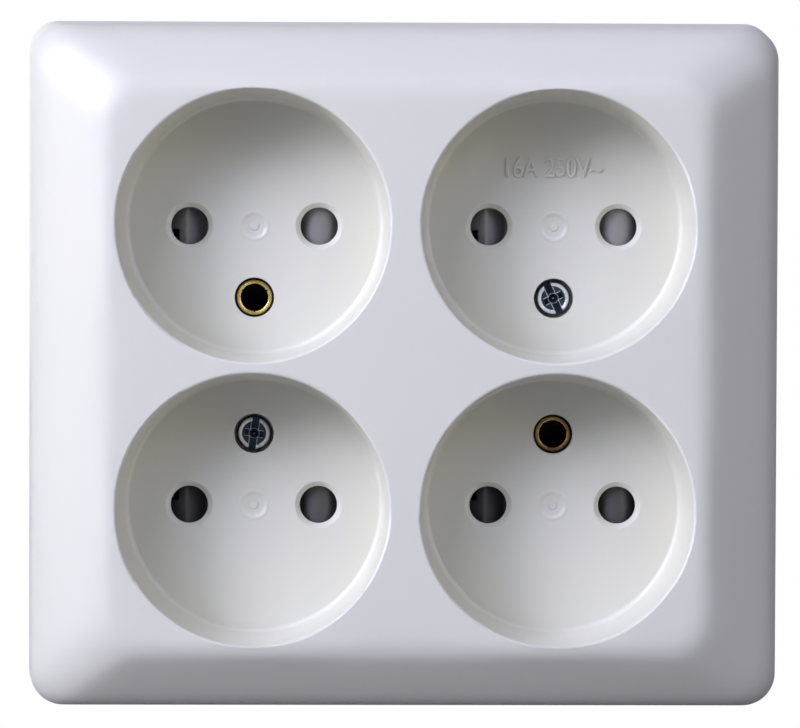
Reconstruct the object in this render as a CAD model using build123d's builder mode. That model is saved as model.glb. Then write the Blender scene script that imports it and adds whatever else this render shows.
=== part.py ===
"""Four-gang two-pole socket outlet for mounting on a wall.

Millimetres. The wall is the plane Y = 0, the front looks along -Y, +Z is up,
and the origin is the centre of the rear face. "Height" means distance from the wall.
"""

import os
from math import copysign, radians, tan

from build123d import *

os.makedirs("parts", exist_ok=True)

# Socket layout: round recesses with a web between them
recess_diameter = 39.4
web_x = 4.6
web_z = 1.6
pin_spacing = 19.0
pin_diameter = 4.8
third_hole_offset = 10.5

# Outer form of the cover: face around the recesses, sloping borders, drafted skirt
face_margin_x = 1.7
face_margin_z = 0.85
face_corner = 5.0
face_rounding = 4.5
border_x = 13.2
border_z = 10.6
bevel_depth = 7.0
shoulder_rounding = 4.0
shoulder_corner = 4.8
rear_corner = 4.4
skirt_height = 29.0
skirt_draft = 4.4
cover_wall = 2.2
inner_face_corner = 1.0

# Plug recesses in the cover
recess_depth = 13.0
recess_draft = 3.6
recess_floor_rounding = 0.7
recess_rim_rounding = 0.4
cup_wall = 1.5
floor_thickness = 1.2
pin_hole_diameter = 5.5
pin_lead_in_diameter = 6.9
lead_in_angle = 90.0
third_hole_diameter = 5.8
gate_dimple_diameter = 4.4
gate_dimple_depth = 0.35

# Breakable cable entries in the skirt
knockout_width = 16.0
knockout_height = 12.0
knockout_wall = 0.9

# Fits
moulding_gap = 0.3
running_gap = 0.15
press_gap = 0.05
spring_gap = 0.1

# Base
base_floor = 2.5
rim_height = 9.0
rim_wall = 1.6
chamber_wall = 1.4
chamber_gap = 0.5
post_diameter = 9.0
wall_screw_margin = 4.5
wall_screw_diameter = 4.5
cable_entry_width = 13.0
cable_entry_height = 13.0
cable_entry_corner = 3.0
cable_entry_z = 22.0
barrier_thickness = 1.5
barrier_top_gap = 1.2

# Contact deck
deck_margin_x = 0.7
deck_margin_z = 1.0
deck_corner = 4.0
deck_thickness = 2.0
pocket_depth = 5.0
pocket_wall = 1.2
pin_clearance_diameter = 6.2
terminal_window_margin = 1.0
deck_boss_diameter = 8.0
eyelet_spigot_diameter = 5.5

# Shutters and their springs
pad_margin = 0.65
rail_width = 1.4
rail_thickness = 2.4
shutter_width = 9.4
crest_height = 4.75
crest_lead = 0.4
crest_rounding = 0.4
ramp_foot = 1.6
ramp_heel = 2.6
notch_reach = 1.6
notch_offset = 0.5
travel_margin = 0.6
spring_post_thickness = 1.2
spring_post_width = 4.8
spring_post_height = 3.4
strip_thickness = 0.3
strip_width = 2.0
spring_lift = 0.4
spring_amplitude = 2.0
spring_folds = 3
spring_bend = 0.4

# Contact bars
bar_thickness = 0.8
contact_length = 8.0
contact_grip = 3.5
contact_flare = 0.9
contact_flare_length = 2.0
contact_arm_length = 4.5
contact_shoulder = 3.6
contact_top_gap = 0.6
crossbar_width = 6.0
crossbar_offset = 15.5

# Terminals
terminal_height = 8.0
terminal_length = 16.0
terminal_inner_x = 1.8
terminal_gap = 0.5
terminal_bend = 1.2
terminal_screw_spacing = 9.0
terminal_edge = 0.8
clamp_gap = 0.55
clamp_border = 0.4
clamp_thickness = 1.2
terminal_screw_head_height = 2.0
terminal_screw_length = 6.0
terminal_screw_angle = 35.0

# Cover screws and their bushes
screw_sink = 0.7
screw_head_diameter = 5.2
screw_head_height = 1.9
screw_diameter = 3.0
screw_length = 13.0
screw_boss_diameter = 8.6
screw_boss_length = 2.6
screw_clearance_diameter = 3.4
screw_angles = (25.0, -8.0)
slot_width = 0.95
slot_depth = 0.9
head_chamfer = 0.5
cross_length = 3.4
bush_diameter = 5.6

# Eyelets
eyelet_sink = 0.6
eyelet_bore = 4.0
eyelet_bore_depth = 12.0
eyelet_wall = 0.4
eyelet_lip_diameter = 5.2
eyelet_lip_height = 0.6
eyelet_lip_chamfer = 0.25
eyelet_flange_diameter = 7.0
eyelet_flange_thickness = 0.6
eyelet_flange_sink = 0.3

# Heights above the wall, worked down from the face
total_depth = skirt_height + bevel_depth
floor_top = total_depth - recess_depth
floor_underside = floor_top - floor_thickness
pocket_top = floor_underside - moulding_gap
deck_top = pocket_top - pocket_depth
deck_underside = deck_top - deck_thickness
screw_head_top = floor_top - screw_sink
screw_seat = screw_head_top - screw_head_height
screw_boss_end = floor_underside - screw_boss_length
eyelet_top = floor_top - eyelet_sink
eyelet_seat = eyelet_top - eyelet_lip_height

# Sizes that follow from the ones above
pitch_x = recess_diameter + web_x
pitch_z = recess_diameter + web_z
face_width = pitch_x + recess_diameter + 2 * face_margin_x
face_height = pitch_z + recess_diameter + 2 * face_margin_z
rear_width = face_width + 2 * border_x
rear_height = face_height + 2 * border_z
draft_slope = tan(radians(skirt_draft))
shoulder_inset = skirt_height * draft_slope
inner_corner = rear_corner - cover_wall
recess_radius = recess_diameter / 2
recess_floor_radius = recess_radius - recess_depth * tan(radians(recess_draft))
pad_half = pin_hole_diameter / 2 + pad_margin
shutter_travel = pad_half + pin_diameter / 2 + travel_margin
shutter_length = pin_spacing + 2 * pad_half
pocket_length = shutter_length + shutter_travel + 2 * moulding_gap
pocket_width = shutter_width + 2 * running_gap
pocket_x = -shutter_travel / 2
crossbar_z = pitch_z / 2 + crossbar_offset
deck_width = pitch_x + pocket_length - 2 * pocket_x + 2 * (pocket_wall + deck_margin_x)
deck_height = 2 * crossbar_z + crossbar_width + 2 * deck_margin_z
wall_screw_spacing = deck_width + 2 * wall_screw_margin
chamber_half = contact_shoulder + chamber_gap

# Places on the wall plane, as (x, z)
socket_centres = [(x, z) for z in (pitch_z / 2, -pitch_z / 2) for x in (-pitch_x / 2, pitch_x / 2)]
third_holes = [(x, z - copysign(third_hole_offset, z)) for x, z in socket_centres]
eyelet_points = [third_holes[0], third_holes[3]]
screw_points = [third_holes[1], third_holes[2]]
line_columns = [x - pin_spacing / 2 for x in (-pitch_x / 2, pitch_x / 2)]
contact_rows = [-pitch_z / 2, pitch_z / 2]
terminal_riser_x = line_columns[1] - contact_shoulder - terminal_gap
support_width = terminal_riser_x - terminal_bend - terminal_inner_x
terminal_screw_x = terminal_inner_x + support_width / 2
terminal_screw_diameter = support_width - 2 * (terminal_edge + running_gap)
clamp_size = 2 * (terminal_screw_x - barrier_thickness / 2 - clamp_gap)
terminal_screw_head = clamp_size - 2 * clamp_border
terminal_points = [(terminal_screw_x, s * terminal_screw_spacing / 2) for s in (1, -1)]


def at_height(height):
    """Plane parallel to the wall, looking into the room: local x is X, local y is Z."""
    return Plane.XZ.offset(height)


def section_at(x, z, side=1):
    """Plane square to Z through (x, z): local x is X, turned by side, local y is height above the wall."""
    return Plane(origin=(x, 0, z), x_dir=(side, 0, 0), z_dir=(0, 0, -side))


def bore_axis(x, z):
    """Axis square to the wall through (x, z)."""
    return Axis((x, 0, z), (0, -1, 0))


def save(piece, name):
    """Label a finished piece and write its STEP file."""
    piece.label = name
    export_step(piece, f"parts/{name}.step")


# Front cover: drafted skirt, sloping borders and flat face, hollow behind
with BuildPart() as front_cover:
    with BuildSketch(at_height(0)):
        RectangleRounded(rear_width, rear_height, rear_corner)
    with BuildSketch(at_height(skirt_height)):
        RectangleRounded(
            rear_width - 2 * shoulder_inset, rear_height - 2 * shoulder_inset, shoulder_corner
        )
    with BuildSketch(at_height(total_depth)):
        RectangleRounded(face_width, face_height, face_corner)
    loft(ruled=True)
    edge_rings = front_cover.edges().group_by(Axis.Y)
    fillet(edge_rings[2], shoulder_rounding)
    fillet(front_cover.faces().sort_by(Axis.Y)[0].edges(), face_rounding)

    # Hollow behind the borders and the face
    inner_shoulder = skirt_height - cover_wall / 2
    inner_inset = cover_wall + inner_shoulder * draft_slope
    with BuildSketch(at_height(0)):
        RectangleRounded(rear_width - 2 * cover_wall, rear_height - 2 * cover_wall, inner_corner)
    with BuildSketch(at_height(inner_shoulder)):
        RectangleRounded(rear_width - 2 * inner_inset, rear_height - 2 * inner_inset, inner_corner)
    with BuildSketch(at_height(total_depth - cover_wall)):
        RectangleRounded(face_width - cover_wall, face_height - cover_wall, inner_face_corner)
    loft(ruled=True, mode=Mode.SUBTRACT)
    with BuildSketch(at_height(0)):
        Rectangle(knockout_width, rear_height - 2 * knockout_wall)
    extrude(amount=knockout_height, taper=skirt_draft, mode=Mode.SUBTRACT)

    # Cups that carry the recesses, and the seats of the two cover screws
    with BuildSketch(at_height(total_depth - cover_wall)):
        with GridLocations(pitch_x, pitch_z, 2, 2):
            Circle(recess_radius + cup_wall)
    extrude(amount=cover_wall - total_depth + floor_underside)
    with BuildSketch(at_height(floor_underside)):
        with Locations(*screw_points):
            Circle(screw_boss_diameter / 2)
    extrude(amount=-screw_boss_length)

    # Recesses: drafted wall, rounded into the floor and over the rim
    mouth_radius = recess_radius + 2 * recess_rim_rounding
    clear_height = total_depth + bevel_depth
    for x, z in socket_centres:
        with BuildSketch(section_at(x, z, copysign(1, x))) as profile:
            with BuildLine():
                Polyline(
                    (0, floor_top),
                    (recess_floor_radius, floor_top),
                    (recess_radius, total_depth),
                    (mouth_radius, total_depth),
                    (mouth_radius, clear_height),
                    (0, clear_height),
                    close=True,
                )
            make_face()
            fillet(profile.vertices().group_by(Axis.Y)[1].sort_by(Axis.X)[0], recess_rim_rounding)
            fillet(profile.vertices().group_by(Axis.Y)[0].sort_by(Axis.X)[-1], recess_floor_rounding)
        revolve(axis=bore_axis(x, z), mode=Mode.SUBTRACT)

    # Pin holes with a lead-in, and the third holes
    with Locations(at_height(floor_top)):
        with GridLocations(pitch_x, pitch_z, 2, 2):
            with GridLocations(pin_spacing, 0, 2, 1):
                CounterSinkHole(
                    pin_hole_diameter / 2, pin_lead_in_diameter / 2, counter_sink_angle=lead_in_angle
                )
        with Locations(*eyelet_points):
            Hole(third_hole_diameter / 2)
        with Locations(*screw_points):
            CounterBoreHole(
                screw_clearance_diameter / 2, third_hole_diameter / 2, floor_top - screw_seat
            )

    # Gate mark: a shallow dish in the middle of each floor
    dimple_sphere = ((gate_dimple_diameter / 2) ** 2 + gate_dimple_depth**2) / (2 * gate_dimple_depth)
    with Locations(at_height(floor_top - gate_dimple_depth + dimple_sphere)):
        with GridLocations(pitch_x, pitch_z, 2, 2):
            Sphere(dimple_sphere, rotation=(90, 0, 0), mode=Mode.SUBTRACT)
save(front_cover.part, "front_cover")


# Base: rear plate with a rim inside the skirt, contact chambers, posts and terminal supports
base_width = rear_width - 2 * cover_wall - 2 * moulding_gap
base_height = rear_height - 2 * cover_wall - 2 * moulding_gap
base_corner = inner_corner - moulding_gap
rim_inset = rim_height * draft_slope
chamber_depth = deck_underside - base_floor
floor_inset = base_floor * draft_slope + rim_wall
contact_end = pitch_z / 2 + contact_length / 2
chamber_closed_end = contact_end + chamber_gap
chamber_open_end = crossbar_z - crossbar_width / 2 - chamber_gap
chamber_length = chamber_closed_end + chamber_open_end
chamber_middle = (chamber_closed_end - chamber_open_end) / 2

with BuildPart() as base:
    with BuildSketch(at_height(0)):
        RectangleRounded(base_width, base_height, base_corner)
    with BuildSketch(at_height(rim_height)):
        RectangleRounded(base_width - 2 * rim_inset, base_height - 2 * rim_inset, base_corner)
    loft(ruled=True)
    with BuildSketch(at_height(base_floor)):
        Rectangle(base_width - 2 * floor_inset, base_height - 2 * floor_inset)
        Rectangle(knockout_width, base_height)
    extrude(amount=rim_height - base_floor, taper=skirt_draft, mode=Mode.SUBTRACT)

    # Chambers, open towards their crossbar and broken for the terminal tabs
    with BuildSketch(at_height(base_floor)):
        for turn in (1, -1):
            with Locations(*[(turn * x, turn * (chamber_middle + chamber_wall / 2)) for x in line_columns]):
                Rectangle(2 * (chamber_half + chamber_wall), chamber_length + chamber_wall)
            with Locations(*[(turn * x, turn * chamber_middle) for x in line_columns]):
                Rectangle(2 * chamber_half, chamber_length, mode=Mode.SUBTRACT)
        Rectangle(2 * line_columns[1], terminal_length + 2 * chamber_gap, mode=Mode.SUBTRACT)
        with Locations(*third_holes):
            Circle(post_diameter / 2)
    extrude(amount=chamber_depth)

    # Supports under the terminal tabs, with a barrier between the poles
    with BuildSketch(at_height(base_floor)):
        with Locations((terminal_screw_x, 0), (-terminal_screw_x, 0)):
            Rectangle(support_width, terminal_length)
    extrude(amount=terminal_height - base_floor)
    with BuildSketch(at_height(base_floor)):
        Rectangle(barrier_thickness, terminal_length)
    extrude(amount=chamber_depth - barrier_top_gap)

    # Holes: wall screws, cable entry, bush seats, eyelets and terminal screws
    with BuildSketch(at_height(0)):
        with GridLocations(wall_screw_spacing, 0, 2, 1):
            Circle(wall_screw_diameter / 2)
        with Locations((0, cable_entry_z)):
            RectangleRounded(cable_entry_width, cable_entry_height, cable_entry_corner)
        with Locations(*eyelet_points):
            Circle(eyelet_bore / 2 + eyelet_wall + press_gap)
    extrude(amount=deck_underside, mode=Mode.SUBTRACT)
    with BuildSketch(at_height(0)):
        with Locations(*eyelet_points):
            Circle(eyelet_flange_diameter / 2 + press_gap)
    extrude(amount=eyelet_flange_sink + eyelet_flange_thickness, mode=Mode.SUBTRACT)
    with Locations(at_height(deck_underside)):
        with Locations(*screw_points):
            Hole(bush_diameter / 2 + press_gap, depth=chamber_depth)
    with Locations(at_height(terminal_height)):
        with Locations(*terminal_points, *[(-x, -z) for x, z in terminal_points]):
            Hole(terminal_screw_diameter / 2 + running_gap, depth=terminal_height - base_floor)

save(base.part, "base")


# Contact deck: plate over the chambers with a pocket and a spring post for each shutter
window_half = pin_spacing / 2 - pad_half
spring_post_x = -window_half + running_gap + spring_post_thickness / 2
terminal_window_width = 2 * terminal_screw_x + terminal_screw_head + 2 * terminal_window_margin
terminal_window_height = terminal_screw_spacing + terminal_screw_head + 2 * terminal_window_margin

with BuildPart() as contact_deck:
    with BuildSketch(at_height(deck_underside)):
        RectangleRounded(deck_width, deck_height, deck_corner)
        Rectangle(terminal_window_width, terminal_window_height, mode=Mode.SUBTRACT)
    extrude(amount=deck_thickness)
    with BuildSketch(at_height(deck_top)):
        with Locations(*[(x + pocket_x, z) for x, z in socket_centres]):
            Rectangle(pocket_length + 2 * pocket_wall, pocket_width + 2 * pocket_wall)
            Rectangle(pocket_length, pocket_width, mode=Mode.SUBTRACT)
        with Locations(*eyelet_points):
            Circle(deck_boss_diameter / 2)
    extrude(amount=pocket_depth)
    with BuildSketch(at_height(deck_top)):
        with Locations(*[(x + spring_post_x, z) for x, z in socket_centres]):
            Rectangle(spring_post_thickness, spring_post_width)
    extrude(amount=spring_post_height)
    with BuildSketch(at_height(deck_top)):
        with Locations(*screw_points):
            Circle(deck_boss_diameter / 2)
    extrude(amount=screw_boss_end - deck_top)
    with BuildSketch(at_height(deck_top)):
        with Locations(*eyelet_points):
            Circle(eyelet_spigot_diameter / 2)
    extrude(amount=eyelet_seat - deck_top)
    with BuildSketch(at_height(deck_underside)):
        with GridLocations(pitch_x, pitch_z, 2, 2):
            with GridLocations(pin_spacing, 0, 2, 1):
                Circle(pin_clearance_diameter / 2)
        with Locations(*screw_points):
            Circle(screw_clearance_diameter / 2)
        with Locations(*eyelet_points):
            Circle(eyelet_bore / 2 + eyelet_wall + press_gap)
    extrude(amount=eyelet_seat - deck_underside, mode=Mode.SUBTRACT)

save(contact_deck.part, "contact_deck")


# Shutters: a sliding frame with a ramp under each pin hole, pushed to the left by the pins
shutter_bottom = deck_top + running_gap

for number, (x, z) in enumerate(socket_centres, start=1):
    third_side = -copysign(1, z)
    with BuildPart() as shutter:
        with BuildSketch(at_height(shutter_bottom)):
            with Locations((x, z)):
                Rectangle(shutter_length, shutter_width)
                Rectangle(2 * window_half, shutter_width - 2 * rail_width, mode=Mode.SUBTRACT)
        extrude(amount=rail_thickness)
        with BuildSketch(section_at(x - pin_spacing / 2, z)) as roof:
            with BuildLine():
                Polyline(
                    (-pad_half, shutter_bottom),
                    (-pad_half, shutter_bottom + ramp_heel),
                    (-crest_lead, shutter_bottom + crest_height),
                    (pad_half, shutter_bottom + ramp_foot),
                    (pad_half, shutter_bottom),
                    close=True,
                )
            make_face()
            fillet(roof.vertices().sort_by(Axis.Y)[-1], crest_rounding)
        extrude(amount=shutter_width / 2, both=True)
        with BuildSketch(section_at(x + pin_spacing / 2, z)):
            with BuildLine():
                back = ThreePointArc(
                    (-pad_half, shutter_bottom + ramp_heel),
                    (-crest_lead, shutter_bottom + crest_height),
                    (pad_half, shutter_bottom + ramp_foot),
                )
                Polyline(back @ 1, (pad_half, shutter_bottom), (-pad_half, shutter_bottom), back @ 0)
            make_face()
        extrude(amount=shutter_width / 2, both=True)
        with BuildSketch(at_height(shutter_bottom)):
            with Locations((x - pin_spacing / 2 - notch_reach, z + third_side * notch_offset)):
                notch_corner = (Align.MAX, Align.MAX if third_side < 0 else Align.MIN)
                Rectangle(pad_half, shutter_width, align=notch_corner)
        extrude(amount=crest_height, mode=Mode.SUBTRACT)
    save(shutter.part, f"shutter_{number}")


# Shutter springs: folded strip between the deck's post and the shutter's right-hand pad
spring_start = spring_post_x + spring_post_thickness / 2
spring_end = window_half - spring_gap - strip_thickness
fold_step = (spring_end - spring_start) / spring_folds
fold_line = [(spring_start, -spring_amplitude)]
for fold in range(spring_folds + 1):
    fold_line.append((spring_start + fold * fold_step, copysign(spring_amplitude, 0.5 - fold % 2)))
fold_line.append((spring_end, -fold_line[-1][1]))

for number, (x, z) in enumerate(socket_centres, start=1):
    with BuildPart() as shutter_spring:
        with BuildSketch(at_height(shutter_bottom + spring_lift)):
            with BuildLine():
                FilletPolyline(*[(x + dx, z + dz) for dx, dz in fold_line], radius=spring_bend)
                offset(amount=strip_thickness, side=Side.RIGHT)
            make_face()
        extrude(amount=strip_width)
    save(shutter_spring.part, f"shutter_spring_{number}")


# Contact bars: stamped strip with two legs, four folded spring contacts and a terminal tab
contact_top = deck_underside - contact_top_gap
grip_half = contact_grip / 2 + bar_thickness
right_arm = [
    (contact_shoulder, base_floor),
    (contact_shoulder, base_floor + contact_arm_length),
    (grip_half, contact_top - contact_flare_length),
    (grip_half + contact_flare, contact_top),
]
contact_line = [(-x, y) for x, y in reversed(right_arm)] + right_arm
leg_length = contact_end + crossbar_z
leg_z = (contact_end - crossbar_z) / 2

with BuildPart() as line_bar:
    with BuildSketch(at_height(base_floor)):
        with Locations(*[(x, leg_z) for x in line_columns]):
            Rectangle(2 * contact_shoulder, leg_length)
        with Locations((sum(line_columns) / 2, -crossbar_z)):
            Rectangle(line_columns[1] - line_columns[0] + 2 * contact_shoulder, crossbar_width)
    extrude(amount=bar_thickness)
    for x in line_columns:
        for z in contact_rows:
            with BuildSketch(section_at(x, z)):
                with BuildLine():
                    Polyline(*contact_line)
                    offset(amount=bar_thickness, side=Side.LEFT)
                make_face()
            extrude(amount=contact_length / 2, both=True)
    with BuildSketch(section_at(0, 0)):
        with BuildLine():
            FilletPolyline(
                (line_columns[1], base_floor),
                (terminal_riser_x, base_floor),
                (terminal_riser_x, terminal_height),
                (terminal_inner_x, terminal_height),
                radius=terminal_bend,
            )
            offset(amount=bar_thickness, side=Side.RIGHT)
        make_face()
    extrude(amount=terminal_length / 2, both=True)
    with Locations(at_height(terminal_height + bar_thickness)):
        with Locations(*terminal_points):
            Hole(terminal_screw_diameter / 2 + press_gap, depth=bar_thickness)

save(line_bar.part, "line_bar")
save(line_bar.part.rotate(Axis.Y, 180), "neutral_bar")


def slotted_screw(place, seat, head, shank, slot_angle):
    """Screw with a chamfered, slotted head; head and shank are (diameter, length)."""
    head_diameter, head_height = head
    shank_diameter, shank_length = shank
    with BuildPart() as screw:
        with BuildSketch(at_height(seat)):
            with Locations(place):
                Circle(head_diameter / 2)
        extrude(amount=head_height)
        chamfer(screw.edges().sort_by(Axis.Y)[0], head_chamfer)
        with BuildSketch(at_height(seat)):
            with Locations(place):
                Circle(shank_diameter / 2)
        extrude(amount=-shank_length)
        with BuildSketch(at_height(seat + head_height)):
            with Locations(place):
                Rectangle(slot_width, head_diameter, rotation=slot_angle)
        extrude(amount=-slot_depth, mode=Mode.SUBTRACT)
    return screw.part


# Terminals: clamping plates on the tabs and the screws through them
clamp_bottom = terminal_height + bar_thickness
clamp_top = clamp_bottom + clamp_thickness

for pole, turn in (("line", 1), ("neutral", -1)):
    for number, (x, z) in enumerate(terminal_points, start=1):
        place = (turn * x, turn * z)
        with BuildPart() as clamp:
            with BuildSketch(at_height(clamp_bottom)):
                with Locations(place):
                    Rectangle(clamp_size, clamp_size)
                    Circle(terminal_screw_diameter / 2 + running_gap, mode=Mode.SUBTRACT)
            extrude(amount=clamp_thickness)
        save(clamp.part, f"{pole}_clamp_{number}")
        terminal_screw = slotted_screw(
            place,
            clamp_top,
            (terminal_screw_head, terminal_screw_head_height),
            (terminal_screw_diameter, terminal_screw_length),
            terminal_screw_angle,
        )
        save(terminal_screw, f"{pole}_screw_{number}")


# Cover screws and the threaded bushes that they run into
for number, (place, angle) in enumerate(zip(screw_points, screw_angles), start=1):
    plain_screw = slotted_screw(
        place,
        screw_seat,
        (screw_head_diameter, screw_head_height),
        (screw_diameter, screw_length),
        angle,
    )
    with BuildPart() as cover_screw:
        add(plain_screw)
        with BuildSketch(at_height(screw_head_top)):
            with Locations(place):
                Rectangle(cross_length, slot_width, rotation=angle)
        extrude(amount=-slot_depth, mode=Mode.SUBTRACT)
    save(cover_screw.part, f"cover_screw_{number}")
    with BuildPart() as screw_bush:
        with BuildSketch(at_height(deck_underside)):
            with Locations(place):
                Circle(bush_diameter / 2)
                Circle(screw_diameter / 2 + press_gap, mode=Mode.SUBTRACT)
        extrude(amount=-chamber_depth)
    save(screw_bush.part, f"screw_bush_{number}")


# Eyelets: half-hollow rivets from the rear of the base to just under the recess floor
bore_radius = eyelet_bore / 2
tube_radius = bore_radius + eyelet_wall
lip_radius = eyelet_lip_diameter / 2
flange_radius = eyelet_flange_diameter / 2
flange_top = eyelet_flange_sink + eyelet_flange_thickness

for number, (x, z) in enumerate(eyelet_points, start=1):
    with BuildPart() as eyelet:
        with BuildSketch(section_at(x, z)):
            with BuildLine():
                Polyline(
                    (0, eyelet_flange_sink),
                    (flange_radius, eyelet_flange_sink),
                    (flange_radius, flange_top),
                    (tube_radius, flange_top),
                    (tube_radius, eyelet_seat),
                    (lip_radius, eyelet_seat),
                    (lip_radius, eyelet_top - eyelet_lip_chamfer),
                    (lip_radius - eyelet_lip_chamfer, eyelet_top),
                    (bore_radius, eyelet_top),
                    (bore_radius, eyelet_top - eyelet_bore_depth),
                    (0, eyelet_top - eyelet_bore_depth),
                    close=True,
                )
            make_face()
        revolve(axis=bore_axis(x, z))
    save(eyelet.part, f"eyelet_{number}")
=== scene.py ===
import math

import bmesh
import bpy
import numpy as np
from mathutils import Matrix, Vector


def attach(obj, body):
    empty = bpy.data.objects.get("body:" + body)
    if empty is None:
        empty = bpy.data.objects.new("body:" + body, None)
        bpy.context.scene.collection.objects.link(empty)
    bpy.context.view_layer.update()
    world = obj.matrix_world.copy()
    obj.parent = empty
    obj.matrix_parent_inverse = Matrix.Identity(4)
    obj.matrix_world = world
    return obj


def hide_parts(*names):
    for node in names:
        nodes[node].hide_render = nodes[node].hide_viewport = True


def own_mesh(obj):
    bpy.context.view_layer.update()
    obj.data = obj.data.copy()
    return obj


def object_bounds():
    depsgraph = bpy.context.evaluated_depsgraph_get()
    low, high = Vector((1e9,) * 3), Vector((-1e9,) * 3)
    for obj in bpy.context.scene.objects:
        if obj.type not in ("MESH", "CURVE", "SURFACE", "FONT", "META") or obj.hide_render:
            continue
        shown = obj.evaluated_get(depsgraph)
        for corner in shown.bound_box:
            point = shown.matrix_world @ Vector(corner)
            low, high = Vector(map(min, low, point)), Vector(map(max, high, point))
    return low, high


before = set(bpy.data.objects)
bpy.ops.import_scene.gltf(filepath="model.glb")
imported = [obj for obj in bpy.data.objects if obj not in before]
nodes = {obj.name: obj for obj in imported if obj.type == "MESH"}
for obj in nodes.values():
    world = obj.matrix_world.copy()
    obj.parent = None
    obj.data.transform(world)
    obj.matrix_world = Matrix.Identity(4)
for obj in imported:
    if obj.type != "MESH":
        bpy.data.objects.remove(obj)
cad_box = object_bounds()


# Base: the rear plate that is screwed to the wall, with its rim, ribs and posts.
# One moulding of matt off-white thermoplastic, with a finely eroded mould texture.
mm = 0.001


def shader_node(tree, kind, inputs=None, **settings):
    """A new node in the tree, its settings made and its inputs set, or linked where a socket is given."""
    node = tree.nodes.new(kind)
    for name, value in settings.items():
        setattr(node, name, value)
    for name, value in (inputs or {}).items():
        if isinstance(value, bpy.types.NodeSocket):
            tree.links.new(value, node.inputs[name])
        else:
            node.inputs[name].default_value = value
    return node


def shader_group(name, inputs, outputs):
    """An empty shader group with those sockets, and its input and output nodes."""
    group = bpy.data.node_groups.new(name, "ShaderNodeTree")
    for socket, kind in inputs.items():
        group.interface.new_socket(socket, in_out="INPUT", socket_type="NodeSocket" + kind)
    for socket, kind in outputs.items():
        group.interface.new_socket(socket, in_out="OUTPUT", socket_type="NodeSocket" + kind)
    return group, group.nodes.new("NodeGroupInput").outputs, group.nodes.new("NodeGroupOutput").inputs


def moulded_surface():
    """Group for moulded plastic: a cloudy tint, patches of gloss, and a grain height from two noises."""
    group, given, made = shader_group(
        "moulded_surface",
        {"Colour": "Color", "Cloud": "Color", "Polished": "Float", "Dull": "Float", "Grain": "Float"},
        {"Colour": "Color", "Roughness": "Float", "Height": "Float"},
    )
    place = shader_node(group, "ShaderNodeTexCoord").outputs["Object"]
    clouds = shader_node(group, "ShaderNodeTexNoise", {"Vector": place, "Scale": 38, "Detail": 3})
    spread = shader_node(
        group, "ShaderNodeMapRange", {"Value": clouds.outputs["Fac"], "From Min": 0.35, "From Max": 0.65}
    )
    tint = shader_node(
        group,
        "ShaderNodeMix",
        {"Factor": spread.outputs["Result"], 6: given["Colour"], 7: given["Cloud"]},
        data_type="RGBA",
    )
    patches = shader_node(group, "ShaderNodeTexNoise", {"Vector": place, "Scale": 170, "Detail": 5})
    gloss = shader_node(
        group,
        "ShaderNodeMapRange",
        {
            "Value": patches.outputs["Fac"],
            "From Min": 0.3,
            "From Max": 0.7,
            "To Min": given["Polished"],
            "To Max": given["Dull"],
        },
    )
    grain = shader_node(
        group,
        "ShaderNodeTexNoise",
        {"Vector": place, "Scale": given["Grain"], "Detail": 2, "Roughness": 0.6},
    )
    group.links.new(tint.outputs[2], made["Colour"])
    group.links.new(gloss.outputs["Result"], made["Roughness"])
    group.links.new(grain.outputs["Fac"], made["Height"])
    return group


def surfaced_material(name, group, values, bump, edge, **shader):
    """A Principled material fed by a surface group, its edges shaded as rounded to the edge radius."""
    material = bpy.data.materials.new(name)
    material.use_nodes = True
    tree = material.node_tree
    principled = tree.nodes["Principled BSDF"]
    surface = shader_node(tree, "ShaderNodeGroup", node_tree=group)
    for socket, value in values.items():
        surface.inputs[socket].default_value = value
    rounded = shader_node(tree, "ShaderNodeBevel", {"Radius": edge}, samples=4)
    relief = shader_node(
        tree,
        "ShaderNodeBump",
        {"Height": surface.outputs["Height"], "Distance": bump, "Normal": rounded.outputs["Normal"]},
    )
    tree.links.new(surface.outputs["Colour"], principled.inputs["Base Color"])
    tree.links.new(surface.outputs["Roughness"], principled.inputs["Roughness"])
    tree.links.new(relief.outputs["Normal"], principled.inputs["Normal"])
    for socket, value in shader.items():
        principled.inputs[socket.replace("_", " ")].default_value = value
    return material


def dress(material, *names):
    """Give CAD nodes a material in the slot that they already have."""
    for name in names:
        nodes[name].material_slots[0].material = material


moulded = moulded_surface()
base_plastic = surfaced_material(
    "base_plastic",
    moulded,
    {
        "Colour": (0.66, 0.65, 0.61, 1),
        "Cloud": (0.60, 0.59, 0.55, 1),
        "Polished": 0.42,
        "Dull": 0.58,
        "Grain": 2600,
    },
    bump=0.03 * mm,
    edge=0.3 * mm,
)
dress(base_plastic, "base")


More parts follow.
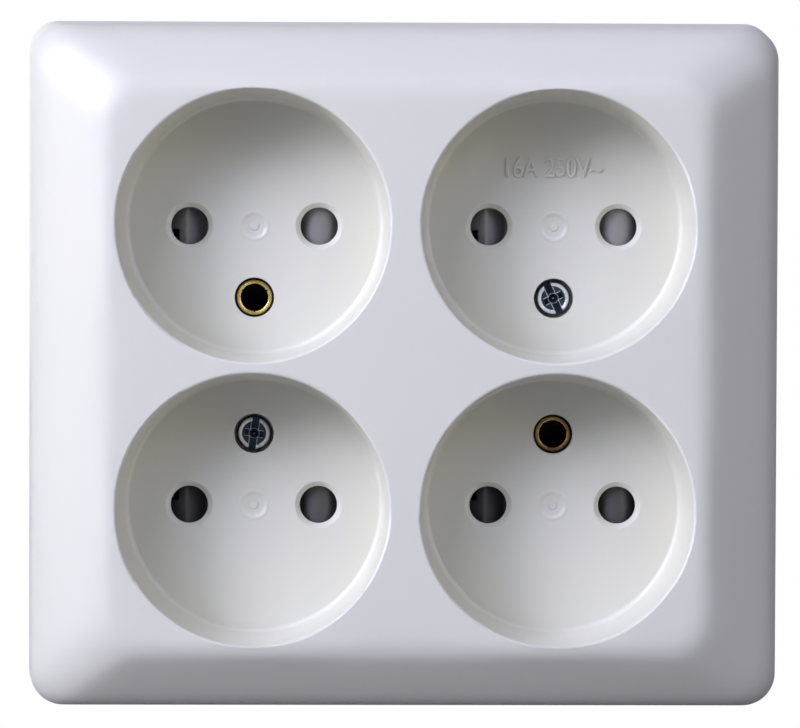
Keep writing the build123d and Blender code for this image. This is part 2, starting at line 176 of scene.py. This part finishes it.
# Contact bars: two stamped strips with folded spring contacts and a terminal tab.
# Cold-rolled brass, bright from the press, with rolling lines and a little tarnish.
def worked_metal():
    """Group for worked metal: tarnish from one noise, and fine lines from another drawn out one way."""
    group, given, made = shader_group(
        "worked_metal",
        {
            "Colour": "Color",
            "Tarnish": "Color",
            "Bright": "Float",
            "Dull": "Float",
            "Lines": "Vector",
        },
        {"Colour": "Color", "Roughness": "Float", "Height": "Float"},
    )
    place = shader_node(group, "ShaderNodeTexCoord").outputs["Object"]
    stains = shader_node(group, "ShaderNodeTexNoise", {"Vector": place, "Scale": 420, "Detail": 4})
    stained = shader_node(
        group, "ShaderNodeMapRange", {"Value": stains.outputs["Fac"], "From Min": 0.42, "From Max": 0.72}
    )
    tint = shader_node(
        group,
        "ShaderNodeMix",
        {"Factor": stained.outputs["Result"], 6: given["Colour"], 7: given["Tarnish"]},
        data_type="RGBA",
    )
    along = shader_node(group, "ShaderNodeMapping", {"Vector": place, "Scale": given["Lines"]})
    lines = shader_node(
        group, "ShaderNodeTexNoise", {"Vector": along.outputs["Vector"], "Scale": 1, "Detail": 3}
    )
    gloss = shader_node(
        group,
        "ShaderNodeMapRange",
        {
            "Value": lines.outputs["Fac"],
            "From Min": 0.3,
            "From Max": 0.7,
            "To Min": given["Bright"],
            "To Max": given["Dull"],
        },
    )
    group.links.new(tint.outputs[2], made["Colour"])
    group.links.new(gloss.outputs["Result"], made["Roughness"])
    group.links.new(lines.outputs["Fac"], made["Height"])
    return group


metal = worked_metal()
rolled_brass = surfaced_material(
    "rolled_brass",
    metal,
    {
        "Colour": (0.72, 0.50, 0.19, 1),
        "Tarnish": (0.50, 0.31, 0.11, 1),
        "Bright": 0.22,
        "Dull": 0.40,
        "Lines": (900, 900, 60),
    },
    bump=0.01 * mm,
    edge=0.1 * mm,
    Metallic=1.0,
)
dress(rolled_brass, "line_bar", "neutral_bar")


# Terminals: square clamping plates and slotted screws that press the wires on the tabs.
# Zinc-plated steel, passivated to a bluish silver.
zinc_plate = surfaced_material(
    "zinc_plate",
    metal,
    {
        "Colour": (0.56, 0.60, 0.65, 1),
        "Tarnish": (0.40, 0.44, 0.50, 1),
        "Bright": 0.18,
        "Dull": 0.34,
        "Lines": (700, 700, 700),
    },
    bump=0.008 * mm,
    edge=0.1 * mm,
    Metallic=1.0,
)
for pole in ("line", "neutral"):
    for number in (1, 2):
        dress(zinc_plate, f"{pole}_clamp_{number}", f"{pole}_screw_{number}")


# Contact deck: the plate over the contact chambers, with the shutters' pockets.
# Near-black moulded insulator, matt where it can be seen beside a shutter; the near-black colour is painted
# shade for the shadow there.
deck_plastic = surfaced_material(
    "deck_plastic",
    moulded,
    {
        "Colour": (0.018, 0.018, 0.019, 1),
        "Cloud": (0.026, 0.025, 0.025, 1),
        "Polished": 0.45,
        "Dull": 0.62,
        "Grain": 3000,
    },
    bump=0.03 * mm,
    edge=0.2 * mm,
)
dress(deck_plastic, "contact_deck")


# Shutters: each closes both pin holes of a socket and slides to the left when a plug pushes on its ramps.
# Satin grey moulded plastic, one piece with its rails, free in its pocket. Its grey is scaled per shutter as
# painted light and shade: the second lighter, the lower two darker.
shutter_grey = np.array((0.27, 0.26, 0.225))
shutter_cloud = np.array((0.24, 0.23, 0.20))
# Painted light and shade: one scale of the same grey for each shutter.
shutter_painted_shading = (1.0, 1.25, 0.36, 0.33)
for number, shade in enumerate(shutter_painted_shading, start=1):
    shutter_plastic = surfaced_material(
        f"shutter_plastic_{number}",
        moulded,
        {
            "Colour": (*(shade * shutter_grey), 1),
            "Cloud": (*(shade * shutter_cloud), 1),
            "Polished": 0.26,
            "Dull": 0.38,
            "Grain": 3400,
        },
        bump=0.015 * mm,
        edge=0.4 * mm,
    )
    dress(shutter_plastic, f"shutter_{number}")


# Shutter springs: one between each shutter's right-hand pad and the deck's post, squeezed as it opens.
# Blued spring steel strip, bent to and fro on edge.
pitch = Vector((44.0, 41.0)) * mm
sockets = [(x * pitch.x / 2, z * pitch.y / 2) for z in (1, -1) for x in (-1, 1)]
spring_start = -4.75 * mm
spring_end = 5.7 * mm
spring_reach = 2.0 * mm
spring_folds = 3
spring_bend = 0.4 * mm
bend_steps = 11
strip_thickness = 0.3 * mm
strip_width = 2.0 * mm
strip_bottom = 17.05 * mm


def closed_piece(name, grids, sharp=38):
    """One mesh from grids with columns that close on themselves and end rows drawn to a point or line."""
    points, faces, start = [], [], 0
    for grid in grids:
        rows, columns = grid.shape[:2]
        index = start + np.arange(rows * columns).reshape(rows, columns)
        index = np.concatenate([index, index[:, :1]], axis=1)
        corners = [index[:-1, :-1], index[:-1, 1:], index[1:, 1:], index[1:, :-1]]
        faces.append(np.stack(corners, axis=-1).reshape(-1, 4))
        points.append(grid.reshape(-1, 3))
        start += rows * columns
    mesh = bpy.data.meshes.new(name)
    mesh.from_pydata(np.concatenate(points).tolist(), [], np.concatenate(faces).tolist())
    return finished_piece(name, mesh, sharp)


def finished_piece(name, mesh, sharp):
    """An object for a mesh, with doubled points merged, faces turned outwards and smooth shading."""
    shell = bmesh.new()
    shell.from_mesh(mesh)
    bmesh.ops.remove_doubles(shell, verts=shell.verts, dist=1e-7)
    bmesh.ops.recalc_face_normals(shell, faces=shell.faces)
    shell.to_mesh(mesh)
    shell.free()
    mesh.shade_smooth()
    mesh.set_sharp_from_angle(angle=math.radians(sharp))
    piece = bpy.data.objects.new(name, mesh)
    bpy.context.scene.collection.objects.link(piece)
    return piece


def folded_strip(x, z):
    """Strip on edge along a zigzag whose corners are arcs.

    A point of an arc is middle + (first sin((1 - t) swing) + last sin(t swing)) / sin(swing), 0 <= t <= 1.
    """
    turns = np.arange(spring_folds + 1)
    run = spring_start + (spring_end - spring_start) * turns / spring_folds
    folds = np.column_stack([run, spring_reach * (1 - 2 * (turns % 2))])
    line = np.concatenate([[(spring_start, -spring_reach)], folds, [(spring_end, -folds[-1, 1])]])
    away = np.diff(line, axis=0)
    away = away / np.linalg.norm(away, axis=1, keepdims=True)
    back, onward = -away[:-1], away[1:]
    half = np.arccos((back * onward).sum(axis=1, keepdims=True)) / 2
    inward = (back + onward) / np.linalg.norm(back + onward, axis=1, keepdims=True)
    middle = line[1:-1] + inward * spring_bend / np.sin(half)
    first = line[1:-1] + back * spring_bend / np.tan(half) - middle
    last = line[1:-1] + onward * spring_bend / np.tan(half) - middle
    swing = (np.pi - 2 * half)[:, None]
    t = np.linspace(0, 1, bend_steps)[:, None]
    arcs = first[:, None] * np.sin((1 - t) * swing) + last[:, None] * np.sin(t * swing)
    path = np.concatenate([line[:1], (middle[:, None] + arcs / np.sin(swing)).reshape(-1, 2), line[-1:]])
    along = np.gradient(path, axis=0)
    along = along / np.linalg.norm(along, axis=1, keepdims=True)
    right = np.column_stack([along[:, 1], -along[:, 0]])
    sides = path[:, None] + right[:, None] * np.array([0, 1, 1, 0])[:, None] * strip_thickness
    height = strip_bottom + np.array([0, 0, 1, 1]) * strip_width + 0 * sides[..., 0]
    grid = np.stack([x + sides[..., 0], -height, z + sides[..., 1]], axis=-1)
    ends = np.repeat(grid[[0, -1]].mean(axis=1, keepdims=True), 4, axis=1)
    return np.concatenate([ends[:1], grid, ends[1:]])


spring_steel = surfaced_material(
    "spring_steel",
    metal,
    {
        "Colour": (0.55, 0.56, 0.58, 1),
        "Tarnish": (0.40, 0.40, 0.42, 1),
        "Bright": 0.20,
        "Dull": 0.36,
        "Lines": (80, 1400, 1400),
    },
    bump=0.006 * mm,
    edge=0.1 * mm,
    Metallic=1.0,
)
for number, (x, z) in enumerate(sockets, start=1):
    spring = closed_piece(f"folded_spring_{number}", [folded_strip(x, z)])
    spring.data.materials.append(spring_steel)
    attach(spring, "housing")
    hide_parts(f"shutter_spring_{number}")
    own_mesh(spring)


# Front cover: the white moulding that shows, with four plug recesses and sloping borders.
# Glossy cream-white thermoplastic from a polished mould, held by the two screws in the recesses.
cover_look = {
    "Colour": (0.72, 0.71, 0.57, 1),
    "Cloud": (0.71, 0.70, 0.56, 1),
    "Polished": 0.30,
    "Dull": 0.32,
    "Grain": 700,
}
cover_bump = 0.004 * mm
cover_edge = 0.2 * mm
border_edge = 6.0 * mm
recess_radius = 19.7 * mm
rim_clear = 0.6 * mm
skirt_reach = 20.0 * mm
border_reach = 26.0 * mm


def soften_borders(material):
    """Widen the shaded edges outside the recesses, in step with the distance to the nearest recess rim.

    The distance is the length of (|x| - half pitch, |z| - half pitch) less the recess radius, and the
    widest edge grows with the height above the wall, from the skirt to the borders.
    """
    tree = material.node_tree
    place = shader_node(tree, "ShaderNodeTexCoord").outputs["Object"]
    mirrored = shader_node(tree, "ShaderNodeVectorMath", {0: place}, operation="ABSOLUTE")
    from_socket = shader_node(
        tree,
        "ShaderNodeVectorMath",
        {0: mirrored.outputs["Vector"], 1: (pitch.x / 2, 0, pitch.y / 2)},
        operation="SUBTRACT",
    )
    in_plane = shader_node(
        tree,
        "ShaderNodeVectorMath",
        {0: from_socket.outputs["Vector"], 1: (1, 0, 1)},
        operation="MULTIPLY",
    )
    distance = shader_node(
        tree, "ShaderNodeVectorMath", {0: in_plane.outputs["Vector"]}, operation="LENGTH"
    )
    height = shader_node(tree, "ShaderNodeSeparateXYZ", {"Vector": mirrored.outputs["Vector"]})
    widest = shader_node(
        tree,
        "ShaderNodeMapRange",
        {
            "Value": height.outputs["Y"],
            "From Min": skirt_reach,
            "From Max": border_reach,
            "To Min": cover_edge,
            "To Max": border_edge,
        },
    )
    radius = shader_node(
        tree,
        "ShaderNodeMapRange",
        {
            "Value": distance.outputs["Value"],
            "From Min": recess_radius + rim_clear,
            "From Max": recess_radius + rim_clear + border_edge,
            "To Min": cover_edge,
            "To Max": widest.outputs["Result"],
        },
    )
    tree.links.new(radius.outputs["Result"], tree.nodes["Bevel"].inputs["Radius"])


cover_plastic = surfaced_material("cover_plastic", moulded, cover_look, cover_bump, cover_edge)
soften_borders(cover_plastic)
dress(cover_plastic, "front_cover")


# Gate marks: the stub in each recess's dish where the plastic entered the mould, and the rim of the dish.
# The same plastic as the cover, sheared off and rounded, in one piece with the floor.
def turned(profile, x, z, columns):
    """Surface of turning: each (radius, height) is carried round an axis square to the wall at (x, z)."""
    radius, height = np.asarray(profile, float).T[:, :, None]
    angle = np.linspace(0, 2 * np.pi, columns, endpoint=False)
    return np.stack([x + radius * np.cos(angle), 0 * angle - height, z + radius * np.sin(angle)], axis=-1)


floor_height = 23.0 * mm
dish_depth = 0.35 * mm
dish_floor = floor_height - dish_depth
stub_radius = 0.68 * mm
stub_edge = 0.16 * mm
stub_foot = dish_floor - 0.1 * mm
stub_top = dish_floor + 0.2 * mm
stub_dip = 0.03 * mm
rim_inner = 1.25 * mm
rim_inner_drop = 0.31 * mm
rim_shoulder = 1.92 * mm
rim_shoulder_rise = 0.04 * mm
rim_crest_inner = 2.0 * mm
rim_crest_outer = 2.1 * mm
rim_crest_rise = 0.06 * mm
rim_outer = 2.45 * mm
rim_outer_drop = 0.02 * mm
rim_draft = 0.03 * mm
rim_sunk = 0.45 * mm
relief_edge = 0.02 * mm
gate_columns = 64
bend = np.linspace(0, np.pi / 2, 9)
rounded_edge = np.column_stack(
    [stub_radius - stub_edge * (1 - np.cos(bend)), stub_top - stub_edge * (1 - np.sin(bend))]
)
stub_profile = np.concatenate(
    [[(0, stub_foot), (stub_radius, stub_foot)], rounded_edge, [(0, stub_top - stub_dip)]]
)
rim_profile = [
    (rim_inner, floor_height - rim_sunk),
    (rim_inner, floor_height - rim_inner_drop),
    (rim_shoulder, floor_height + rim_shoulder_rise),
    (rim_crest_inner, floor_height + rim_crest_rise),
    (rim_crest_outer, floor_height + rim_crest_rise),
    (rim_outer, floor_height - rim_outer_drop),
    (rim_outer - rim_draft, floor_height - rim_sunk),
    (rim_inner, floor_height - rim_sunk),
]
gate_profiles = (stub_profile, rim_profile)
gate_marks = closed_piece(
    "gate_marks", [turned(profile, x, z, gate_columns) for x, z in sockets for profile in gate_profiles]
)
relief_plastic = surfaced_material("relief_plastic", moulded, cover_look, cover_bump, relief_edge)
gate_marks.data.materials.append(relief_plastic)
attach(gate_marks, "housing")


# Rating relief: the current and voltage moulded on the floor of the upper right recess.
# Letters cut in the mould, so they stand up from the floor in the cover's own plastic.
rating_width = 14.2 * mm
rating_height = 3.0 * mm
rating_thickness = 0.3 * mm
rating_rise = 8.75 * mm
letters = bpy.data.curves.new("rating", "FONT")
letters.body = "16A 250V~"
letters.align_x = "CENTER"
letters.align_y = "CENTER"
letters.extrude = 0.02
letters.bevel_depth = 0.012
letters.bevel_resolution = 2
letters.resolution_u = 6
written = bpy.data.objects.new("rating", letters)
bpy.context.scene.collection.objects.link(written)
shaped = written.evaluated_get(bpy.context.evaluated_depsgraph_get())
rating_mesh = bpy.data.meshes.new_from_object(shaped)
bpy.data.objects.remove(written)
points = np.zeros(len(rating_mesh.vertices) * 3)
rating_mesh.vertices.foreach_get("co", points)
points = points.reshape(-1, 3)
low, high = points.min(axis=0), points.max(axis=0)
rating_size = [rating_width, rating_height, rating_thickness * 2]
fitted = (points - (low + high) / 2) / (high - low) * rating_size
rating_x, rating_z = sockets[1]
placed = np.column_stack(
    [rating_x + fitted[:, 0], -floor_height - fitted[:, 2], rating_z + rating_rise + fitted[:, 1]]
)
rating_mesh.vertices.foreach_set("co", placed.ravel())
rating_mesh.update()
rating_relief = finished_piece("rating_relief", rating_mesh, sharp=30)
rating_relief.data.materials.clear()
rating_relief.data.materials.append(relief_plastic)
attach(rating_relief, "housing")


# Cover screws: combination-head screws in two of the third holes, run into brass bushes in the base posts.
# Cold-headed steel with a slot and a cross, zinc plated, bright on the rim, with painted shade darkening the
# drive.
screw_seat = 20.4 * mm
head_radius = 2.6 * mm
head_height = 1.9 * mm
head_bevel = 0.1 * mm
head_rows = 100
head_columns = 320
crest_radius = 2.02 * mm
crest_drop = 0.95 * mm
well_radius = 1.72 * mm
well_depth = 0.36 * mm
slot_half = 0.5 * mm
slot_reach = 2.35 * mm
cross_half = 0.42 * mm
cross_reach = 1.4 * mm
drive_depth = 1.05 * mm
hub_radius = 0.6 * mm
hub_ring = 0.74 * mm
hub_rise = 0.96 * mm
nub_radius = 0.2 * mm
nub_rise = 0.95 * mm
edge_width = 0.06 * mm
burr_height = 0.2 * mm
burr_width = 0.08 * mm
third_hole_offset = 10.5 * mm
screw_turns = (25.0, -8.0)
thread_radius = 1.5 * mm
thread_depth = 0.28 * mm
thread_pitch = 0.5 * mm
screw_length = 13.0 * mm
screw_tip = 0.9 * mm
tip_share = 0.35
shank_overlap = 0.2 * mm
shank_rows = 265
shank_columns = 40


def painted_hollow_shade():
    """Group for painted shade in hollows: dark from the foot height up to the low one, clear at the high
    one.
    """
    group, given, made = shader_group(
        "painted_hollow_shade",
        {"Colour": "Color", "Dark": "Color", "Foot": "Float", "Low": "Float", "High": "Float"},
        {"Colour": "Color"},
    )
    place = shader_node(group, "ShaderNodeTexCoord").outputs["Object"]
    height = shader_node(
        group, "ShaderNodeVectorMath", {0: place, 1: (0, -1, 0)}, operation="DOT_PRODUCT"
    ).outputs["Value"]
    hollow = shader_node(
        group,
        "ShaderNodeMapRange",
        {"Value": height, "From Min": given["Low"], "From Max": given["High"], "To Min": 1, "To Max": 0},
    )
    above = shader_node(group, "ShaderNodeMath", {0: height, 1: given["Foot"]}, operation="GREATER_THAN")
    depth = shader_node(
        group, "ShaderNodeMath", {0: hollow.outputs["Result"], 1: above.outputs[0]}, operation="MULTIPLY"
    )
    shade = shader_node(
        group,
        "ShaderNodeMix",
        {"Factor": depth.outputs[0], 6: given["Colour"], 7: given["Dark"]},
        data_type="RGBA",
    )
    group.links.new(shade.outputs[2], made["Colour"])
    return group


def paint_hollow_shade(material, dark, foot, low, high):
    """Put the painted hollow shade between a material's surface group and its colour."""
    tree = material.node_tree
    colour = tree.nodes["Principled BSDF"].inputs["Base Color"]
    values = {"Dark": dark, "Foot": foot, "Low": low, "High": high}
    values["Colour"] = colour.links[0].from_socket
    shade = shader_node(tree, "ShaderNodeGroup", values, node_tree=hollow_shade_group)
    tree.links.new(shade.outputs["Colour"], colour)


def within(limit, distance):
    """1 inside the limit and 0 outside it, with a straight slope one edge wide between them."""
    return np.clip((limit - np.abs(distance)) / edge_width + 0.5, 0, 1)


def burr(limit, distance):
    """A bell-shaped ridge one burr wide along the outside of a limit."""
    return np.exp(-(((np.abs(distance) - limit - burr_width) / burr_width) ** 2))


def screw_head(x, z, turn):
    """Head, a height over radius and angle: a domed rim with a sunk well, less a slot, a cross and a hub."""
    angle = np.linspace(0, 2 * np.pi, head_columns, endpoint=False)
    radius = np.linspace(0, head_radius, head_rows)[:, None]
    along = radius * np.cos(angle - turn - np.pi / 2)
    across = radius * np.sin(angle - turn - np.pi / 2)
    dome = head_height - crest_drop * ((radius - crest_radius) / (head_radius - crest_radius)) ** 2
    well = within(well_radius, radius)
    cross_burr = burr(cross_half, along) * within(cross_reach, across)
    edges = np.maximum(burr(slot_half, across), np.maximum(cross_burr, burr(hub_radius, radius)))
    top = dome * (1 - well) + (head_height - well_depth + burr_height * edges) * well
    drive = np.maximum(
        within(slot_half, across) * within(slot_reach, along),
        within(cross_half, along) * within(cross_reach, across),
    )
    drive = np.maximum(drive, within(hub_radius, radius))
    ring = hub_rise * np.exp(-(((radius - hub_ring) / burr_width) ** 2))
    floor = head_height - drive_depth + ring + nub_rise * np.exp(-((radius / nub_radius) ** 2))
    height = screw_seat + top * (1 - drive) + floor * drive
    upper = np.stack([x + radius * np.cos(angle), -height, z + radius * np.sin(angle)], axis=-1)
    bevel = [(head_radius, screw_seat + head_bevel), (head_radius - head_bevel, screw_seat)]
    under = turned([*bevel, (0, screw_seat)], x, z, head_columns)
    return np.concatenate([upper, under])


def threaded_shank(x, z):
    """Shank: the radius falls from crest to root and back once a pitch, shifted by the angle."""
    depth = np.linspace(-shank_overlap, screw_length, shank_rows)
    depth = np.concatenate([depth[:1], depth, depth[-1:]])[:, None]
    angle = np.linspace(0, 2 * np.pi, shank_columns, endpoint=False)
    phase = (depth / thread_pitch + angle / (2 * np.pi)) % 1
    radius = thread_radius - thread_depth * np.abs(2 * phase - 1)
    radius = radius * np.clip(tip_share + (screw_length - depth) / screw_tip, 0, 1)
    radius[[0, -1]] = 0
    y = depth - screw_seat + 0 * angle
    return np.stack([x + radius * np.cos(angle), y, z + radius * np.sin(angle)], axis=-1)


hollow_shade_group = painted_hollow_shade()
screw_plate = surfaced_material(
    "screw_plate",
    metal,
    {
        "Colour": (0.90, 0.90, 0.80, 1),
        "Tarnish": (0.74, 0.76, 0.68, 1),
        "Bright": 0.24,
        "Dull": 0.36,
        "Lines": (700, 700, 700),
    },
    bump=0.006 * mm,
    edge=0.05 * mm,
    Metallic=0.45,
)
# The drive's dark colour is painted shade, laid on below the top of the head.
drive_painted_shade = (0.05, 0.075, 0.095, 1)
shade_foot = screw_seat - 0.1 * mm
shade_low = screw_seat + head_height - 0.28 * mm
shade_high = screw_seat + head_height - 0.16 * mm
paint_hollow_shade(screw_plate, drive_painted_shade, shade_foot, shade_low, shade_high)
screw_places = [(x, z - math.copysign(third_hole_offset, z)) for x, z in (sockets[1], sockets[2])]
for number, ((x, z), turn) in enumerate(zip(screw_places, screw_turns), start=1):
    shapes = [screw_head(x, z, math.radians(turn)), threaded_shank(x, z)]
    screw = closed_piece(f"combination_screw_{number}", shapes)
    screw.data.materials.append(screw_plate)
    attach(screw, "housing")
    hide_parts(f"cover_screw_{number}")
    dress(rolled_brass, f"screw_bush_{number}")


# Eyelets: half-hollow rivets in the other third holes, which hold the deck to the base.
# Drawn brass, the lip slit in three and rolled over, with painted shade darkening the bore.
eyelet_top = 22.4 * mm
eyelet_bore = 2.0 * mm
eyelet_tube = 2.4 * mm
lip_radius = 2.7 * mm
lip_height = 0.7 * mm
lip_crest = 2.26 * mm
lip_inner_roll = 0.24 * mm
lip_outer_roll = 0.65 * mm
slit_depth = 3.5 * mm
slit_width = 0.3 * mm
slit_closed = 0.02 * mm
bore_bottom = 10.4 * mm
flange_radius = 3.5 * mm
flange_rear = 0.3 * mm
flange_front = 0.9 * mm
slit_turns = (150.0, 135.0)
roll_steps = 10
jaw_columns = 26
body_columns = 72


def eyelet_jaw(x, z, start):
    """A third of the rolled lip: a rounded section carried round between slits that close at the rim."""
    roll = np.linspace(0, np.pi / 2, roll_steps)
    slit_end = eyelet_top - slit_depth
    lip_foot = eyelet_top - lip_height
    inner = np.column_stack(
        [
            lip_crest - (lip_crest - eyelet_bore) * np.cos(roll),
            eyelet_top - lip_inner_roll * (1 - np.sin(roll)),
        ]
    )
    outer = np.column_stack(
        [
            lip_crest + (lip_radius - lip_crest) * np.cos(roll),
            eyelet_top - lip_outer_roll * np.cos(roll) ** 2,
        ]
    )
    bore_wall = [(eyelet_bore, slit_end), (eyelet_bore, lip_foot), (eyelet_bore, lip_foot)]
    tube_wall = [(eyelet_tube, slit_end), (eyelet_tube, lip_foot), (lip_radius, lip_foot)]
    inner = np.concatenate([bore_wall, inner])
    outer = np.concatenate([tube_wall, outer])
    loop = np.concatenate([inner, outer[::-1]])
    spine = np.concatenate([(inner + outer) / 2, (inner + outer)[::-1] / 2])
    sweep = np.concatenate([[0], np.linspace(0, 1, jaw_columns), [1]])[:, None]
    section = np.stack([spine] + [loop] * jaw_columns + [spine])
    radius, height = section[..., 0], section[..., 1]
    open_part = np.clip((lip_crest - radius) / (lip_crest - eyelet_bore), 0, 1)
    gap = (slit_closed + (slit_width - slit_closed) * open_part) / radius
    angle = start + gap / 2 + sweep * (2 * np.pi / 3 - gap)
    return np.stack([x + radius * np.cos(angle), -height, z + radius * np.sin(angle)], axis=-1)


eyelet_body = [
    (0, bore_bottom),
    (eyelet_bore, bore_bottom),
    (eyelet_bore, eyelet_top - slit_depth),
    (eyelet_tube, eyelet_top - slit_depth),
    (eyelet_tube, flange_front),
    (flange_radius, flange_front),
    (flange_radius, flange_rear),
    (0, flange_rear),
]
# Each eyelet's clean and tarnish colours; the second eyelet's are darkened as painted shade, for the shadow
# at the top of its recess.
brass_tints_with_painted_shade = [
    ((0.95, 0.72, 0.24, 1), (0.72, 0.50, 0.13, 1)),
    ((0.62, 0.38, 0.13, 1), (0.34, 0.19, 0.06, 1)),
]
# The near-black bore colour is painted shade for the shadow down the bore.
bore_painted_shade = (0.004, 0.003, 0.002, 1)
bore_shade = (flange_front + 0.1 * mm, eyelet_top - 0.5 * mm, eyelet_top - 0.22 * mm)
eyelet_places = [(x, z - math.copysign(third_hole_offset, z)) for x, z in (sockets[0], sockets[3])]
eyelets = zip(eyelet_places, slit_turns, brass_tints_with_painted_shade)
for number, ((x, z), turn, (clean, stained)) in enumerate(eyelets, start=1):
    drawn_brass = surfaced_material(
        f"drawn_brass_{number}",
        metal,
        {"Colour": clean, "Tarnish": stained, "Bright": 0.20, "Dull": 0.30, "Lines": (600, 90, 600)},
        bump=0.006 * mm,
        edge=0.05 * mm,
        Metallic=0.8,
    )
    paint_hollow_shade(drawn_brass, bore_painted_shade, *bore_shade)
    jaws = [eyelet_jaw(x, z, math.radians(turn + 120 * third)) for third in (0, 1, 2)]
    eyelet = closed_piece(f"rolled_eyelet_{number}", jaws + [turned(eyelet_body, x, z, body_columns)])
    eyelet.data.materials.append(drawn_brass)
    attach(eyelet, "housing")
    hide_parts(f"eyelet_{number}")


# Floor: a plain pale table top just under the socket outlet.
# The camera sees it as bright as the ground of a studio picture, and it lights the outlet as matt grey.
floor_half = 1.5
floor_gap = 0.2 * mm
floor_z = cad_box[0].z - floor_gap
corners = np.array([[-1, -1], [1, -1], [1, 1], [-1, 1]]) * floor_half
floor_mesh = bpy.data.meshes.new("floor")
floor_mesh.from_pydata(np.column_stack([corners, np.full(4, floor_z)]).tolist(), [], [[0, 1, 2, 3]])
floor = bpy.data.objects.new("floor", floor_mesh)
bpy.context.scene.collection.objects.link(floor)
pale = bpy.data.materials.new("pale_floor")
pale.use_nodes = True
tree = pale.node_tree
tree.nodes.remove(tree.nodes["Principled BSDF"])
seen = shader_node(tree, "ShaderNodeLightPath").outputs["Is Camera Ray"]
matt = shader_node(tree, "ShaderNodeBsdfDiffuse", {"Color": (0.3, 0.3, 0.31, 1)})
lit = shader_node(tree, "ShaderNodeEmission", {"Color": (1, 1, 1, 1), "Strength": 1.0})
both = shader_node(tree, "ShaderNodeMixShader", {0: seen, 1: matt.outputs[0], 2: lit.outputs[0]})
tree.links.new(both.outputs[0], tree.nodes["Material Output"].inputs["Surface"])
floor_mesh.materials.append(pale)


# Studio light: soft boxes at the left, the right and the back, each given by its azimuth and elevation
# in degrees, its sides in metres and its watts of red, green and blue. A pale room behind is there for
# the reflections, and the camera itself sees a plain white ground.
soft_boxes = {
    "key": (-54, 22, (0.34, 0.34), (4.6, 4.45, 6.6)),
    "broad_key": (-52, 21, (0.75, 0.55), (2.4, 2.8, 4.5)),
    "high_key": (-40, 38, (0.70, 0.45), (3.8, 3.8, 4.7)),
    "low_key": (-66, 6, (0.60, 0.40), (1.3, 1.2, 0.3)),
    "fill": (46, 20, (0.45, 0.50), (1.9, 1.75, 1.5)),
    "high_fill": (32, 38, (0.50, 0.40), (0.6, 0.8, 2.1)),
    "back": (200, 14, (0.80, 0.60), (3.2, 3.2, 3.4)),
}
soft_box_distance = 1.0
aim = Vector((0, -0.03, 0))
for name, (azimuth, elevation, sides, watts) in soft_boxes.items():
    turn, rise = math.radians(azimuth), math.radians(elevation)
    out = Vector((math.sin(turn) * math.cos(rise), -math.cos(turn) * math.cos(rise), math.sin(rise)))
    light = bpy.data.lights.new(name, "AREA")
    light.shape = "RECTANGLE"
    light.size, light.size_y = sides
    light.energy = max(watts)
    light.color = [w / max(watts) for w in watts]
    box = bpy.data.objects.new(name, light)
    box.location = aim + out * soft_box_distance
    box.rotation_euler = out.to_track_quat("Z", "Y").to_euler()
    box.visible_glossy = name != "back"
    bpy.context.scene.collection.objects.link(box)

world = bpy.data.worlds.new("studio")
world.use_nodes = True
bpy.context.scene.world = world
tree = world.node_tree
tree.nodes.remove(tree.nodes["Background"])
direction = shader_node(tree, "ShaderNodeTexCoord").outputs["Generated"]
heading = shader_node(tree, "ShaderNodeSeparateXYZ", {"Vector": direction})
rising = shader_node(
    tree, "ShaderNodeMapRange", {"Value": heading.outputs["Z"], "From Min": -0.04, "From Max": 0.06}
)
leftward = shader_node(
    tree, "ShaderNodeMapRange", {"Value": heading.outputs["X"], "From Min": -0.06, "From Max": -0.14}
)
backward = shader_node(
    tree, "ShaderNodeMapRange", {"Value": heading.outputs["Y"], "From Min": 0.3, "From Max": 0.8}
)
wall = shader_node(
    tree,
    "ShaderNodeMix",
    {"Factor": rising.outputs["Result"], 6: (0.05, 0.05, 0.05, 1), 7: (0.52, 0.54, 0.64, 1)},
    data_type="RGBA",
)
corner = shader_node(
    tree,
    "ShaderNodeMix",
    {"Factor": leftward.outputs["Result"], 6: wall.outputs[2], 7: (0.95, 0.94, 0.97, 1)},
    data_type="RGBA",
)
room = shader_node(
    tree, "ShaderNodeBackground", {"Color": corner.outputs[2], "Strength": backward.outputs["Result"]}
)
ground = shader_node(tree, "ShaderNodeBackground", {"Color": (1, 1, 1, 1), "Strength": 1.0})
seen = shader_node(tree, "ShaderNodeLightPath").outputs["Is Camera Ray"]
sky = shader_node(tree, "ShaderNodeMixShader", {0: seen, 1: room.outputs[0], 2: ground.outputs[0]})
tree.links.new(sky.outputs[0], tree.nodes["World Output"].inputs["Surface"])
bpy.context.scene.view_settings.view_transform = "Standard"


# Camera: a long lens straight in front, a little to the left and above, as the photograph was taken.
# Its distance and focal length were fitted to the rims and holes of the sockets.
camera_azimuth = math.radians(-1.189)
camera_elevation = math.radians(1.709)
camera_roll = math.radians(0.206)
camera_distance = 0.5814
camera_target = Vector((-0.00083, -0.036, 0.000653))
focal_pixels = 4040.8
picture_width = 800
back = Vector(
    (
        math.sin(camera_azimuth) * math.cos(camera_elevation),
        -math.cos(camera_azimuth) * math.cos(camera_elevation),
        math.sin(camera_elevation),
    )
)
level = Vector((math.cos(camera_azimuth), math.sin(camera_azimuth), 0))
upright = back.cross(level)
right = level * math.cos(camera_roll) + upright * math.sin(camera_roll)
up = back.cross(right)
lens = bpy.data.cameras.new("camera")
lens.lens = lens.sensor_width * focal_pixels / picture_width
lens.clip_start = 0.01
lens.clip_end = 20
camera = bpy.data.objects.new("camera", lens)
place = camera_target + back * camera_distance
camera.matrix_world = Matrix(
    (
        (right.x, up.x, back.x, place.x),
        (right.y, up.y, back.y, place.y),
        (right.z, up.z, back.z, place.z),
        (0, 0, 0, 1),
    )
)
bpy.context.scene.collection.objects.link(camera)
bpy.context.scene.camera = camera
